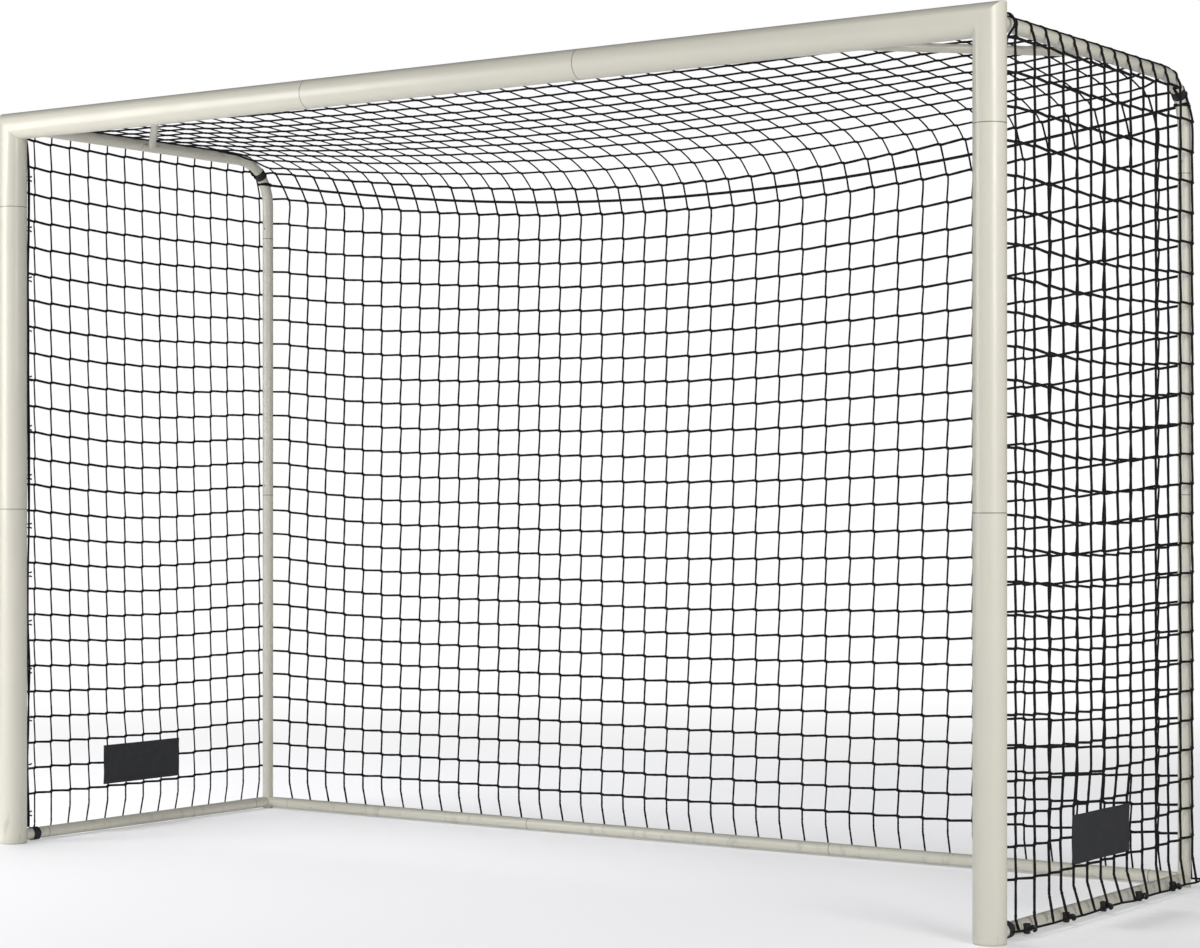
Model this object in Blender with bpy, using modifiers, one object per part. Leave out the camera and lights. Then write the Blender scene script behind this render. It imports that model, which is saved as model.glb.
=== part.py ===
"""Football goal frame with a 3 x 2 m inner opening.

Metres, +Z up, +Y towards the back of the goal. The origin is on the ground, at the middle of the goal's box.
The front frame is thick round tube, joined by inner sleeves. The frame behind it is thin round tube, whose
swaged ends push into the next tube. Spring buttons lock the two joints of each rear upright.
"""

import math

import bmesh
import bpy
from mathutils import Matrix, Vector

# Opening and overall frame
INNER_WIDTH = 3.000
INNER_HEIGHT = 2.000
FRAME_DEPTH = 1.083

# Tubes
FRONT_RADIUS = 0.038
FRONT_WALL = 0.0020
THIN_RADIUS = 0.0165
THIN_WALL = 0.0015
BRACE_RADIUS = 0.011
BRACE_WALL = 0.0015
FRONT_SIDES = 32
THIN_SIDES = 20
SLEEVE_SIDES = 20
BRACE_SIDES = 16
BUTTON_SIDES = 12
SCREW_SIDES = 10

# Clearances
GAP = 0.0003
FIT_GAP = 0.0004

# Places that follow from the opening
HALF_WIDTH = INNER_WIDTH / 2 + FRONT_RADIUS
BAR_Z = INNER_HEIGHT + FRONT_RADIUS
GROUND_Z = 0.020

# Nets
NET_THICKNESS = 0.004
NET_INSIDE = THIN_RADIUS + GAP
NET_PLANE = NET_INSIDE + NET_THICKNESS / 2
NET_OUTSIDE = NET_INSIDE + NET_THICKNESS
NET_HALF_WIDTH = HALF_WIDTH - 0.021
NET_BOTTOM = 0.045
NET_FRONT = 0.044

OVERALL_DEPTH = FRONT_RADIUS + FRAME_DEPTH + NET_OUTSIDE
FRONT_Y = FRONT_RADIUS - OVERALL_DEPTH / 2
REAR_Y = FRONT_Y + FRAME_DEPTH

# Joints between sections
BAR_SEAM_X = 0.435
POST_SEAM_UPPER = 1.808
POST_SEAM_LOWER = 0.950
SLEEVE_HALF_LENGTH = 0.090
REAR_SEAM_UPPER = 1.801
REAR_SEAM_LOWER = 0.990
REAR_THIRD = 1.026
CORNER_STUB_X = 0.092
CORNER_STUB_Y = 0.070
FRONT_STUB = 0.126
SPIGOT = 0.055
CORNER_STUB_RADIUS = THIN_RADIUS - 0.0003
CORNER_PASSAGE = 0.012

# Side top tube
BEND_RADIUS = 0.130
BEND_STEPS = 7

# Corner braces, from the crossbar to the side top tube
BRACE_REACH = 0.560
SADDLE_HALF_LENGTH = 0.033
SADDLE_THICKNESS = 0.0016
SADDLE_SCREW = 0.0255
SADDLE_STEPS = 9
SADDLE_ANGLE_THIN = math.radians(100)
SADDLE_ANGLE_FRONT = math.radians(60)
DRAIN_RADIUS = 0.0025
DRAIN_SHARE = 0.85
SCREW_SHANK = 0.0020
SCREW_HOLE = 0.0024
SCREW_HEAD = 0.0045
SCREW_HEAD_HEIGHT = 0.0028
SCREW_LENGTH = 0.0075

# Spring buttons
BUTTON_RISE = 0.030
BUTTON_RADIUS = 0.0030
BUTTON_HOLE = 0.0034
BUTTON_PROUD = 0.0025
FLANGE_RADIUS = 0.0040
FLANGE_Y = 0.0122
FLANGE_THICKNESS = 0.0008
SPRING_WIDTH = 0.007
SPRING_THICKNESS = 0.0005

# End caps
CAP_LIP = 0.003
CAP_PLUG = 0.026
PLUG_LIP = 0.002
PLUG_DEPTH = 0.014

# Straps
STRAP_CLEARANCE = 0.0008
BEND_STRAP_CLEARANCE = 0.0016
STRAP_THICKNESS = 0.0022
STRAP_WIDTH = 0.025
STRAP_BEHIND_POST = 0.078

# Tension rope
ROPE_RADIUS = 0.004
ROPE_INSET = 0.0085
ROPE_POINTS = 61
ROPE_SPAN = HALF_WIDTH - THIN_RADIUS - 0.001

# Label patches on the side nets
PATCH_LENGTH = 0.320
PATCH_HEIGHT = 0.115
PATCH_THICKNESS = 0.0012
PATCH_FROM_FRONT = 0.375
PATCH_Z = 0.134

COLLECTION = "soccer_goal_frame"
FINISHES = {
    "cream_paint": ((0.80, 0.78, 0.66), 0.32, 0.0),
    "inner_steel": ((0.45, 0.46, 0.47), 0.40, 1.0),
    "zinc": ((0.60, 0.61, 0.60), 0.35, 1.0),
    "cap_plastic": ((0.62, 0.61, 0.55), 0.55, 0.0),
    "black_strap": ((0.02, 0.02, 0.022), 0.85, 0.0),
    "net_twine": ((0.015, 0.015, 0.018), 0.80, 0.0),
    "rope": ((0.018, 0.018, 0.020), 0.75, 0.0),
    "patch_fabric": ((0.06, 0.065, 0.07), 0.80, 0.0),
}


# ---------------------------------------------------------------- scene and helpers


def clear_scene():
    for item in list(bpy.data.objects):
        bpy.data.objects.remove(item, do_unlink=True)


def make_collection(name):
    group = bpy.data.collections.new(name)
    bpy.context.scene.collection.children.link(group)
    return group


def make_materials():
    made = {}
    for name, (colour, roughness, metallic) in FINISHES.items():
        finish = bpy.data.materials.new(name)
        finish.use_nodes = True
        shader = finish.node_tree.nodes["Principled BSDF"]
        shader.inputs["Base Color"].default_value = (*colour, 1.0)
        shader.inputs["Roughness"].default_value = roughness
        shader.inputs["Metallic"].default_value = metallic
        made[name] = finish
    return made


def add_part(name, mesh, finish):
    """Links a mesh as one named piece of the goal."""
    part = bpy.data.objects.new(name, mesh)
    mesh.materials.append(MATERIALS[finish])
    PARTS.objects.link(part)
    return part


def add_cutter(name, mesh):
    """Links a mesh as a tool for a Boolean, out of the build."""
    cutter = bpy.data.objects.new(name, mesh)
    CUTTERS.objects.link(cutter)
    cutter.hide_render = True
    cutter.display_type = "WIRE"
    return cutter


def place(item, origin, direction=(0, 0, 1)):
    """Puts an object's own origin at a point and turns its +Z towards a direction."""
    item.location = origin
    item.rotation_mode = "QUATERNION"
    item.rotation_quaternion = Vector(direction).normalized().to_track_quat("Z", "Y")
    return item


def smooth(mesh, angle=30):
    mesh.shade_smooth()
    mesh.set_sharp_from_angle(angle=math.radians(angle))


def profile_mesh(name, profile, closed):
    """A chain of (radius, height) points in the XZ plane, ready for a Screw."""
    mesh = bpy.data.meshes.new(name)
    work = bmesh.new()
    points = [work.verts.new((radius, 0.0, height)) for radius, height in profile]
    for first, second in zip(points, points[1:]):
        work.edges.new((first, second))
    if closed:
        work.edges.new((points[-1], points[0]))
    work.to_mesh(mesh)
    work.free()
    return mesh


def add_screw(item, steps, angle=math.tau):
    turn = item.modifiers.new("turn", "SCREW")
    turn.axis = "Z"
    turn.angle = angle
    turn.steps = steps
    turn.render_steps = steps
    turn.use_merge_vertices = angle == math.tau
    turn.merge_threshold = 0.00001
    turn.use_smooth_shade = True
    return item


def turned(name, profile, finish, sides, closed=False):
    """A turned piece. A closed profile makes a tube wall, an open one runs from axis to axis."""
    part = add_part(name, profile_mesh(name, profile, closed), finish)
    return add_screw(part, sides)


def pipe_profile(radius, wall, length, lead=0.0, tail=0.0):
    """Outline of a tube's wall. lead and tail are the lengths of its swaged ends."""
    bore = radius - wall
    slim = bore - FIT_GAP
    slim_bore = slim - wall
    neck = 2 * wall
    outline = [(radius, length), (radius, 0.0)]
    if tail:
        outline = [(slim, length + tail), (slim, length)] + outline
    if lead:
        outline += [(slim, 0.0), (slim, -lead), (slim_bore, -lead), (slim_bore, neck), (bore, 2 * neck)]
    else:
        outline.append((bore, 0.0))
    if tail:
        outline += [(bore, length - 2 * neck), (slim_bore, length - neck), (slim_bore, length + tail)]
    else:
        outline.append((bore, length))
    return outline


def pipe(name, start, end, radius, wall, sides, finish="cream_paint", lead=0.0, tail=0.0):
    """A round tube from start to end, with an optional swaged length beyond each."""
    start, end = Vector(start), Vector(end)
    profile = pipe_profile(radius, wall, (end - start).length, lead, tail)
    return place(turned(name, profile, finish, sides, closed=True), start, end - start)


def rod_mesh(name, radius, length, sides):
    """A closed cylinder that stands on its own origin."""
    mesh = bpy.data.meshes.new(name)
    work = bmesh.new()
    bmesh.ops.create_cone(
        work, cap_ends=True, segments=sides, radius1=radius, radius2=radius, depth=length,
        matrix=Matrix.Translation((0, 0, length / 2)),
    )
    work.to_mesh(mesh)
    work.free()
    return mesh


def rod_cutter(name, start, end, radius, sides=16):
    start, end = Vector(start), Vector(end)
    return place(add_cutter(name, rod_mesh(name, radius, (end - start).length, sides)), start, end - start)


def boolean(part, tool, operation="DIFFERENCE"):
    step = part.modifiers.new(tool.name, "BOOLEAN")
    step.operation = operation
    step.object = tool
    step.solver = "EXACT"


def solidify(part, thickness, offset=-1.0):
    shell = part.modifiers.new("wall", "SOLIDIFY")
    shell.thickness = thickness
    shell.offset = offset
    shell.use_even_offset = True
    return shell


def side_name(side):
    return "right" if side > 0 else "left"


# ---------------------------------------------------------------- front frame


def elbow_mesh(name, radius, arm, leg, side, closed=False):
    """Two tubes mitred at 45 degrees: one runs inwards along X for arm, the other down along Z for leg.

    The mitre plane holds the points whose X and Z offsets from the corner have one size.
    """
    mesh = bpy.data.meshes.new(name)
    work = bmesh.new()
    swap_xz = Matrix(((0, 0, 1, 0), (0, 1, 0, 0), (1, 0, 0, 0), (0, 0, 0, 1)))
    for length, to_world in ((arm, swap_xz), (leg, Matrix.Identity(4))):
        ring = bmesh.ops.create_cone(
            work, cap_ends=False, segments=FRONT_SIDES, radius1=radius, radius2=radius, depth=length,
            matrix=Matrix.Translation((0, 0, -length / 2)),
        )["verts"]
        for vert in ring:
            if vert.co.z > -length / 2:
                vert.co.z = vert.co.x
        bmesh.ops.transform(work, matrix=to_world, verts=ring)
    bmesh.ops.remove_doubles(work, verts=work.verts, dist=0.00001)
    if closed:
        bmesh.ops.holes_fill(work, edges=work.edges, sides=0)
    if side < 0:
        bmesh.ops.scale(work, vec=(-1, 1, 1), verts=work.verts)
    bmesh.ops.recalc_face_normals(work, faces=work.faces)
    work.to_mesh(mesh)
    work.free()
    smooth(mesh)
    return mesh


def corner_point(side):
    return (side * HALF_WIDTH, FRONT_Y, BAR_Z)


def make_front_corner(side):
    arm = HALF_WIDTH - BAR_SEAM_X - GAP / 2
    leg = BAR_Z - POST_SEAM_UPPER - GAP / 2
    mesh = elbow_mesh("corner_" + side_name(side), FRONT_RADIUS, arm, leg, side)
    corner = add_part(mesh.name, mesh, "cream_paint")
    corner.location = corner_point(side)
    solidify(corner, FRONT_WALL)
    return corner


def make_front_sections(side):
    """Upper and lower post with their sleeves, and the crossbar's sleeve."""
    tag = side_name(side)
    x = side * HALF_WIDTH
    sections = (
        ("upper_post_" + tag, POST_SEAM_LOWER + GAP / 2, POST_SEAM_UPPER - GAP / 2),
        ("lower_post_" + tag, CAP_LIP + GAP, POST_SEAM_LOWER - GAP / 2),
    )
    for name, low, high in sections:
        pipe(name, (x, FRONT_Y, low), (x, FRONT_Y, high), FRONT_RADIUS, FRONT_WALL, FRONT_SIDES)
    up, along = Vector((0, 0, 1)), Vector((1, 0, 0))
    sleeves = (
        ("post_sleeve_upper_" + tag, Vector((x, FRONT_Y, POST_SEAM_UPPER)), up),
        ("post_sleeve_lower_" + tag, Vector((x, FRONT_Y, POST_SEAM_LOWER)), up),
        ("crossbar_sleeve_" + tag, Vector((side * BAR_SEAM_X, FRONT_Y, BAR_Z)), along),
    )
    radius = FRONT_RADIUS - FRONT_WALL - FIT_GAP
    for name, middle, direction in sleeves:
        reach = direction * SLEEVE_HALF_LENGTH
        pipe(name, middle - reach, middle + reach, radius, FRONT_WALL, SLEEVE_SIDES, "inner_steel")


def cap_profile(lip_radius, lip, plug_radius, plug_top, plug_wall):
    """An open cup that plugs a tube's end, with a lip under the tube."""
    return [
        (0.0, lip + plug_wall),
        (plug_radius - plug_wall, lip + plug_wall),
        (plug_radius - plug_wall, plug_top),
        (plug_radius, plug_top),
        (plug_radius, lip),
        (lip_radius, lip),
        (lip_radius, 0.0),
        (0.0, 0.0),
    ]


def make_feet(side):
    x = side * HALF_WIDTH
    bore = FRONT_RADIUS - FRONT_WALL
    front = cap_profile(FRONT_RADIUS - 0.0005, CAP_LIP, bore - FIT_GAP, CAP_PLUG, 0.003)
    cap = turned("foot_cap_" + side_name(side), front, "cap_plastic", SLEEVE_SIDES)
    place(cap, (x, FRONT_Y, 0.0))
    bore = THIN_RADIUS - THIN_WALL
    rear = cap_profile(THIN_RADIUS - 0.0003, PLUG_LIP, bore - FIT_GAP, PLUG_DEPTH, 0.002)
    plug = turned("rear_corner_plug_" + side_name(side), rear, "cap_plastic", THIN_SIDES)
    place(plug, (x, REAR_Y, 0.0))


# ---------------------------------------------------------------- depth frame


def swept_tube(name, points, radius, wall, bevel_resolution, finish="cream_paint"):
    """A round tube along a chain of points, made as a curve and then a wall."""
    curve = bpy.data.curves.new(name + "_path", "CURVE")
    curve.dimensions = "3D"
    curve.bevel_depth = radius
    curve.bevel_resolution = bevel_resolution
    spline = curve.splines.new("POLY")
    spline.points.add(len(points) - 1)
    for slot, point in zip(spline.points, points):
        slot.co = (*point, 1.0)
    path = bpy.data.objects.new(name + "_path", curve)
    PARTS.objects.link(path)
    bpy.context.view_layer.update()
    evaluated = path.evaluated_get(bpy.context.evaluated_depsgraph_get())
    mesh = bpy.data.meshes.new_from_object(evaluated)
    mesh.name = name
    matrix = path.matrix_world.copy()
    bpy.data.objects.remove(path, do_unlink=True)
    mesh.materials.clear()
    tube = add_part(name, mesh, finish)
    tube.matrix_world = matrix
    smooth(mesh)
    solidify(tube, wall)
    return tube


def bend_centre():
    return REAR_Y - BEND_RADIUS, BAR_Z - BEND_RADIUS


def make_side_top_tube(side, corner_tool):
    """Runs back from the front corner, bends down and ends over the rear upright's swaged end."""
    x = side * HALF_WIDTH
    centre_y, centre_z = bend_centre()
    points = [(x, FRONT_Y, BAR_Z)]
    for step in range(BEND_STEPS + 1):
        angle = math.pi / 2 * (1 - step / BEND_STEPS)
        points.append((x, centre_y + BEND_RADIUS * math.cos(angle), centre_z + BEND_RADIUS * math.sin(angle)))
    points.append((x, REAR_Y, REAR_SEAM_UPPER + GAP / 2))
    sides_to_resolution = (THIN_SIDES - 4) // 2
    tube = swept_tube("side_top_tube_" + side_name(side), points, THIN_RADIUS, THIN_WALL, sides_to_resolution)
    boolean(tube, corner_tool)
    return tube


def make_rear_upright(side):
    x = side * HALF_WIDTH
    low = (x, REAR_Y, REAR_SEAM_LOWER + GAP / 2)
    high = (x, REAR_Y, REAR_SEAM_UPPER - GAP / 2)
    return pipe("rear_upright_" + side_name(side), low, high, THIN_RADIUS, THIN_WALL, THIN_SIDES, tail=SPIGOT)


def stub_tool(name, start, direction, length, bore_tool):
    """A swaged stub as a Boolean tool, hollow and coped to the upright leg."""
    profile = pipe_profile(CORNER_STUB_RADIUS, THIN_WALL, length, tail=SPIGOT)
    stub = add_cutter(name, profile_mesh(name, profile, closed=True))
    place(add_screw(stub, THIN_SIDES), start, direction)
    boolean(stub, bore_tool)
    return stub


def make_rear_corner(side):
    """Three legs welded at the ground, open to each other: up, towards the middle and towards the front."""
    tag = side_name(side)
    x = side * HALF_WIDTH
    low = (x, REAR_Y, PLUG_LIP + GAP)
    high = (x, REAR_Y, REAR_SEAM_LOWER - GAP / 2)
    corner = pipe("rear_corner_" + tag, low, high, THIN_RADIUS, THIN_WALL, THIN_SIDES, tail=SPIGOT)
    middle_of_wall = THIN_RADIUS - THIN_WALL / 2
    bore_tool = rod_cutter("corner_bore_" + tag, (x, REAR_Y, -0.05), (x, REAR_Y, 0.10), middle_of_wall, THIN_SIDES)
    origin = (x, REAR_Y, GROUND_Z)
    legs = (("stub_across_" + tag, (-side, 0, 0), CORNER_STUB_X), ("stub_forward_" + tag, (0, -1, 0), CORNER_STUB_Y))
    for name, direction, length in legs:
        boolean(corner, stub_tool(name, origin, direction, length - GAP / 2, bore_tool), "UNION")
    for name, direction, _ in legs:
        passage_end = Vector(origin) + Vector(direction) * 2 * THIN_RADIUS
        boolean(corner, rod_cutter("passage_" + name, origin, passage_end, CORNER_PASSAGE, 12))
    return corner


def make_ground_tubes(side):
    """The stub welded to the post and the tube between it and the rear corner."""
    tag = side_name(side)
    x = side * HALF_WIDTH
    seam = FRONT_Y + FRONT_STUB
    stub = pipe(
        "front_ground_stub_" + tag, (x, FRONT_Y, GROUND_Z), (x, seam - GAP / 2, GROUND_Z),
        THIN_RADIUS, THIN_WALL, THIN_SIDES, tail=SPIGOT,
    )
    post_tool = rod_cutter(
        "post_surface_" + tag, (x, FRONT_Y, -0.05), (x, FRONT_Y, 0.10), FRONT_RADIUS + GAP, 48
    )
    boolean(stub, post_tool)
    pipe(
        "side_ground_tube_" + tag, (x, seam + GAP / 2, GROUND_Z), (x, REAR_Y - CORNER_STUB_Y - GAP / 2, GROUND_Z),
        THIN_RADIUS, THIN_WALL, THIN_SIDES,
    )


def make_rear_ground_tubes():
    """Three sections: the middle one pushes into the outer two, which push over the corner stubs."""
    outer = HALF_WIDTH - CORNER_STUB_X - GAP / 2
    inner = HALF_WIDTH - REAR_THIRD
    for side in (-1, 1):
        start = (side * outer, REAR_Y, GROUND_Z)
        end = (side * (inner + GAP / 2), REAR_Y, GROUND_Z)
        pipe("rear_ground_tube_" + side_name(side), start, end, THIN_RADIUS, THIN_WALL, THIN_SIDES)
    start = (GAP / 2 - inner, REAR_Y, GROUND_Z)
    end = (inner - GAP / 2, REAR_Y, GROUND_Z)
    pipe(
        "rear_ground_tube_middle", start, end, THIN_RADIUS, THIN_WALL, THIN_SIDES, lead=SPIGOT, tail=SPIGOT
    )


# ---------------------------------------------------------------- corner braces


def saddle_tool(name, radius, angle, middle, along, facing):
    """A curved plate that hugs a tube, centred on a point of the tube's axis and facing away from it."""
    line = [(radius, SADDLE_HALF_LENGTH), (radius, -SADDLE_HALF_LENGTH)]
    plate = add_cutter(name, profile_mesh(name, line, closed=False))
    add_screw(plate, SADDLE_STEPS, angle)
    solidify(plate, SADDLE_THICKNESS, offset=1.0)
    start = Matrix.Rotation(-angle / 2, 3, along) @ facing
    turn = Matrix((start, along.cross(start), along)).transposed()
    plate.rotation_mode = "QUATERNION"
    plate.rotation_quaternion = turn.to_quaternion()
    plate.location = middle
    return plate


def make_brace_screw(name, origin, direction):
    """A pan head screw. Its origin is on the saddle's outer face and its axis points out of the head."""
    profile = [
        (0.0, SCREW_HEAD_HEIGHT),
        (SCREW_HEAD * 0.6, SCREW_HEAD_HEIGHT * 0.9),
        (SCREW_HEAD * 0.93, SCREW_HEAD_HEIGHT * 0.5),
        (SCREW_HEAD, GAP),
        (SCREW_SHANK, GAP),
        (SCREW_SHANK, -SCREW_LENGTH),
        (0.0, -SCREW_LENGTH - 0.0015),
    ]
    return place(turned(name, profile, "zinc", SCREW_SIDES), origin, direction)


def make_brace(side, corner, top_tube):
    """A slanting tube between two welded saddles, each held by two screws, with a drain hole below."""
    tag = side_name(side)
    bar_end = Vector((side * (HALF_WIDTH - BRACE_REACH), FRONT_Y, BAR_Z))
    tube_end = Vector((side * HALF_WIDTH, FRONT_Y + BRACE_REACH, BAR_Z))
    brace = pipe("corner_brace_" + tag, bar_end, tube_end, BRACE_RADIUS, BRACE_WALL, BRACE_SIDES)
    ends = (
        ("bar", bar_end, FRONT_RADIUS, SADDLE_ANGLE_FRONT, Vector((side, 0, 0)), Vector((0, 1, 0)), corner),
        ("tube", tube_end, THIN_RADIUS, SADDLE_ANGLE_THIN, Vector((0, -1, 0)), Vector((-side, 0, 0)), top_tube),
    )
    for end, axis_point, radius, angle, lean, facing, held in ends:
        label = end + "_" + tag
        inside = radius + GAP
        face = inside + SADDLE_THICKNESS
        half = lean * 2 * face
        cope = inside + SADDLE_THICKNESS / 2
        boolean(brace, rod_cutter("cope_" + label, axis_point - half, axis_point + half, cope, 48))
        middle = axis_point + lean * face
        boolean(brace, saddle_tool("saddle_" + label, inside, angle, middle, lean, facing), "UNION")
        for number, shift in enumerate((-SADDLE_SCREW, SADDLE_SCREW), 1):
            head = middle + lean * shift + facing * face
            deep = head - facing * (SCREW_LENGTH + 0.004)
            hole = rod_cutter(f"screw_hole_{label}_{number}", head + facing * 0.004, deep, SCREW_HOLE, 12)
            boolean(brace, hole)
            boolean(held, hole)
            make_brace_screw(f"brace_screw_{label}_{number}", head, facing)
    drain = bar_end.lerp(tube_end, DRAIN_SHARE)
    below = drain - Vector((0, 0, 2 * BRACE_RADIUS))
    boolean(brace, rod_cutter("drain_hole_" + tag, drain, below, DRAIN_RADIUS, 12))


# ---------------------------------------------------------------- spring buttons


def make_button(name, x, z):
    """A domed steel button with a flange that stays inside the tube. It points to the front."""
    tip = THIN_RADIUS + BUTTON_PROUD
    profile = [(0.0, tip)]
    profile += [
        (BUTTON_RADIUS * math.sin(angle), tip - BUTTON_RADIUS * 0.7 * (1 - math.cos(angle)))
        for angle in (math.radians(30), math.radians(60), math.radians(90))
    ]
    profile += [
        (BUTTON_RADIUS, FLANGE_Y),
        (FLANGE_RADIUS, FLANGE_Y),
        (FLANGE_RADIUS, FLANGE_Y - FLANGE_THICKNESS),
        (0.0, FLANGE_Y - FLANGE_THICKNESS),
    ]
    return place(turned(name, profile, "zinc", BUTTON_SIDES), (x, REAR_Y, z), (0, -1, 0))


def make_spring(name, x, z):
    """A strip bent to a V: one leg lies behind the button's flange, the other on the tube's far wall."""
    near = GAP + FLANGE_THICKNESS + SPRING_THICKNESS / 2 - FLANGE_Y
    line = [(near, 0.006), (near + 0.0008, -0.010), (-0.0050, -0.0235), (0.0, -0.0260)]
    line += [(0.0055, -0.0235), (0.0108, -0.010), (0.0119, 0.006)]
    mesh = bpy.data.meshes.new(name)
    work = bmesh.new()
    points = [work.verts.new((-SPRING_WIDTH / 2, y, height)) for y, height in line]
    edges = [work.edges.new(pair) for pair in zip(points, points[1:])]
    grown = bmesh.ops.extrude_edge_only(work, edges=edges)["geom"]
    new_points = [item for item in grown if isinstance(item, bmesh.types.BMVert)]
    bmesh.ops.translate(work, vec=(SPRING_WIDTH, 0, 0), verts=new_points)
    work.to_mesh(mesh)
    work.free()
    spring = add_part(name, mesh, "zinc")
    spring.location = (x, REAR_Y, z)
    solidify(spring, SPRING_THICKNESS, offset=0.0)
    return spring


def make_button_joints(side, top_tube, upright, corner):
    """Cuts the button holes through both walls of each joint and fills them."""
    tag = side_name(side)
    x = side * HALF_WIDTH
    joints = (("upper", REAR_SEAM_UPPER, top_tube, upright), ("lower", REAR_SEAM_LOWER, upright, corner))
    for level, seam, outer, inner in joints:
        z = seam + BUTTON_RISE
        front = (x, REAR_Y - THIN_RADIUS - 0.005, z)
        hole = rod_cutter(f"button_hole_{level}_{tag}", front, (x, REAR_Y - 0.008, z), BUTTON_HOLE, 12)
        boolean(outer, hole)
        boolean(inner, hole)
        make_button(f"snap_button_{level}_{tag}", x, z)
        make_spring(f"button_spring_{level}_{tag}", x, z)


# ---------------------------------------------------------------- straps, nets, rope and patches


def make_strap(name, origin, direction, clearance):
    inner = THIN_RADIUS + clearance
    outer = inner + STRAP_THICKNESS
    half = STRAP_WIDTH / 2
    profile = [(outer, half), (outer, -half), (inner, -half), (inner, half)]
    return place(turned(name, profile, "black_strap", THIN_SIDES, closed=True), origin, direction)


def make_straps(side):
    """One strap on the middle of the bend and one on the ground stub."""
    tag = side_name(side)
    x = side * HALF_WIDTH
    centre_y, centre_z = bend_centre()
    reach = BEND_RADIUS * math.cos(math.radians(45))
    on_bend = (x, centre_y + reach, centre_z + reach)
    make_strap("top_strap_" + tag, on_bend, (0, 1, -1), BEND_STRAP_CLEARANCE)
    on_stub = (x, FRONT_Y + STRAP_BEHIND_POST, GROUND_Z)
    make_strap("ground_strap_" + tag, on_stub, (0, 1, 0), STRAP_CLEARANCE)


def bezier(points, t):
    weights = ((1 - t) ** 3, 3 * (1 - t) ** 2 * t, 3 * (1 - t) * t**2, t**3)
    return tuple(sum(w * point[axis] for w, point in zip(weights, points)) for axis in (0, 1))


def smoothstep(low, high, value):
    t = min(max((value - low) / (high - low), 0.0), 1.0)
    return t * t * (3 - 2 * t)


def brace_lift(x, y):
    """How far the net is held up by the corner brace: 1 over the brace and outside it, 0 in the open."""
    past_brace = (abs(x) - (HALF_WIDTH - BRACE_REACH) - y) / math.sqrt(2)
    return smoothstep(-0.28, -0.02, past_brace)


def net_section(x, t):
    """Y and Z of the roof net at a width x. t runs from the back panel, 0, to the crossbar, 1."""
    back = FRAME_DEPTH + NET_PLANE
    edge = ((back, 1.880), (back, 2.058), (0.980, 2.057), (NET_FRONT, 2.057))
    middle = ((back, 1.790), (back - 0.010, 2.000), (0.750, 1.975), (NET_FRONT, 2.056))
    sag = 1 - (x / NET_HALF_WIDTH) ** 2
    pairs = zip(bezier(edge, t), bezier(middle, t))
    y, z = (at_edge + sag * (at_middle - at_edge) for at_edge, at_middle in pairs)
    held = BAR_Z + BRACE_RADIUS + NET_THICKNESS / 2 + 0.002
    lift = max(held - z, 0.0) * brace_lift(x, y)
    return FRONT_Y + y, z + lift


def rope_station(x):
    """Where the tension rope crosses the net at a width x, as a share of the roof section."""
    return 0.09 + 0.13 * (x / NET_HALF_WIDTH) ** 2


def make_net_sheet(name, columns, rows, surface):
    """A closed sheet whose middle follows surface(x, share), share running from 0 to 1."""
    mesh = bpy.data.meshes.new(name)
    work = bmesh.new()
    bmesh.ops.create_grid(work, x_segments=columns, y_segments=rows, size=0.5)
    for vert in work.verts:
        x = 2 * NET_HALF_WIDTH * vert.co.x
        vert.co = (x, *surface(x, vert.co.y + 0.5))
    work.to_mesh(mesh)
    work.free()
    mesh.shade_smooth()
    sheet = add_part(name, mesh, "net_twine")
    solidify(sheet, NET_THICKNESS, offset=0.0)
    return sheet


def back_surface(x, share):
    """The back panel: flat and upright for its lower part, then the start of the roof section."""
    flat_share = 0.4
    if share <= flat_share:
        top = net_section(x, 0.0)[1]
        return FRONT_Y + FRAME_DEPTH + NET_PLANE, NET_BOTTOM + (top - NET_BOTTOM) * share / flat_share
    t = (share - flat_share) / (1 - flat_share) * (rope_station(x) - 0.004)
    return net_section(x, t)


def roof_surface(x, share):
    start = rope_station(x) + 0.004
    return net_section(x, start + (1 - start) * share**1.3)


def make_side_net(side):
    """A flat sheet just outside the side tubes, with the bend's rounding at its upper rear corner."""
    inset = 0.012
    centre_y, centre_z = bend_centre()
    radius = BEND_RADIUS - inset
    front, back = FRONT_Y + NET_FRONT, REAR_Y - inset
    outline = [(front, NET_BOTTOM), (back, NET_BOTTOM)]
    for step in range(7):
        angle = math.pi / 2 * step / 6
        outline.append((centre_y + radius * math.cos(angle), centre_z + radius * math.sin(angle)))
    outline.append((front, BAR_Z - inset))
    name = "net_" + side_name(side)
    return make_plate(name, outline, NET_THICKNESS, side * (HALF_WIDTH + NET_PLANE), "net_twine")


def make_plate(name, outline, thickness, x, finish):
    """A flat outline of (y, z) points, extruded across the plane at x."""
    curve = bpy.data.curves.new(name, "CURVE")
    curve.dimensions = "2D"
    curve.fill_mode = "BOTH"
    curve.extrude = thickness / 2
    spline = curve.splines.new("POLY")
    spline.points.add(len(outline) - 1)
    for slot, (y, z) in zip(spline.points, outline):
        slot.co = (y, z, 0.0, 1.0)
    spline.use_cyclic_u = True
    curve.materials.append(MATERIALS[finish])
    plate = bpy.data.objects.new(name, curve)
    PARTS.objects.link(plate)
    plate.rotation_euler = (math.pi / 2, 0, math.pi / 2)
    plate.location = (x, 0, 0)
    return plate


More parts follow.
